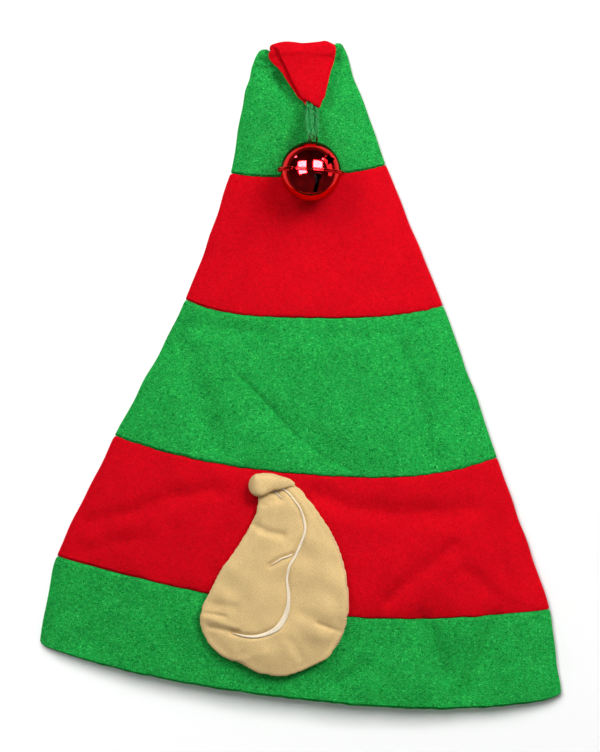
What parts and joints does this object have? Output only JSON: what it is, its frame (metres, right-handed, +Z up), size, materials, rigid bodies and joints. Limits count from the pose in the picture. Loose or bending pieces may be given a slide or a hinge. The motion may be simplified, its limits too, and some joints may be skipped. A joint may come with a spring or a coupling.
{
  "type": "elf hat",
  "caption": "Striped red and green felt elf hat, lying flat, with padded cloth ears at its sides, a folded-over tip and a round jingle bell on a short cord.",
  "frame": {"origin": "on the floor under the middle of the lying hat, on the flat underside of its middle green band", "axes": "+X across the hat, to the right of the side that faces up; +Y from the head opening to the folded tip; +Z up from the floor"},
  "size_m": [0.3003, 0.3839, 0.0473],
  "materials": {
    "green_felt": "soft brushed felt",
    "red_felt": "soft brushed felt",
    "ear_cloth": "fine ribbed weave",
    "ear_thread": "satin stitch",
    "seam_thread": "matt sewing thread",
    "red_metal": "glossy red lacquer on plated metal",
    "steel": "smooth",
    "green_cord": "twisted satin with metallic threads"
  },
  "bodies": {
    "root": {"hem_band": "green_felt", "lower_red_band": "red_felt", "middle_green_band": "green_felt", "upper_red_band": "red_felt", "top_green_band": "green_felt", "red_tip": "red_felt", "ear_front": "ear_cloth", "ear_back": "ear_cloth", "bell_upper_half": "red_metal", "bell_lower_half": "red_metal", "bell_ball": "steel", "bell_cord": "green_cord"}
  },
  "joints": []
}
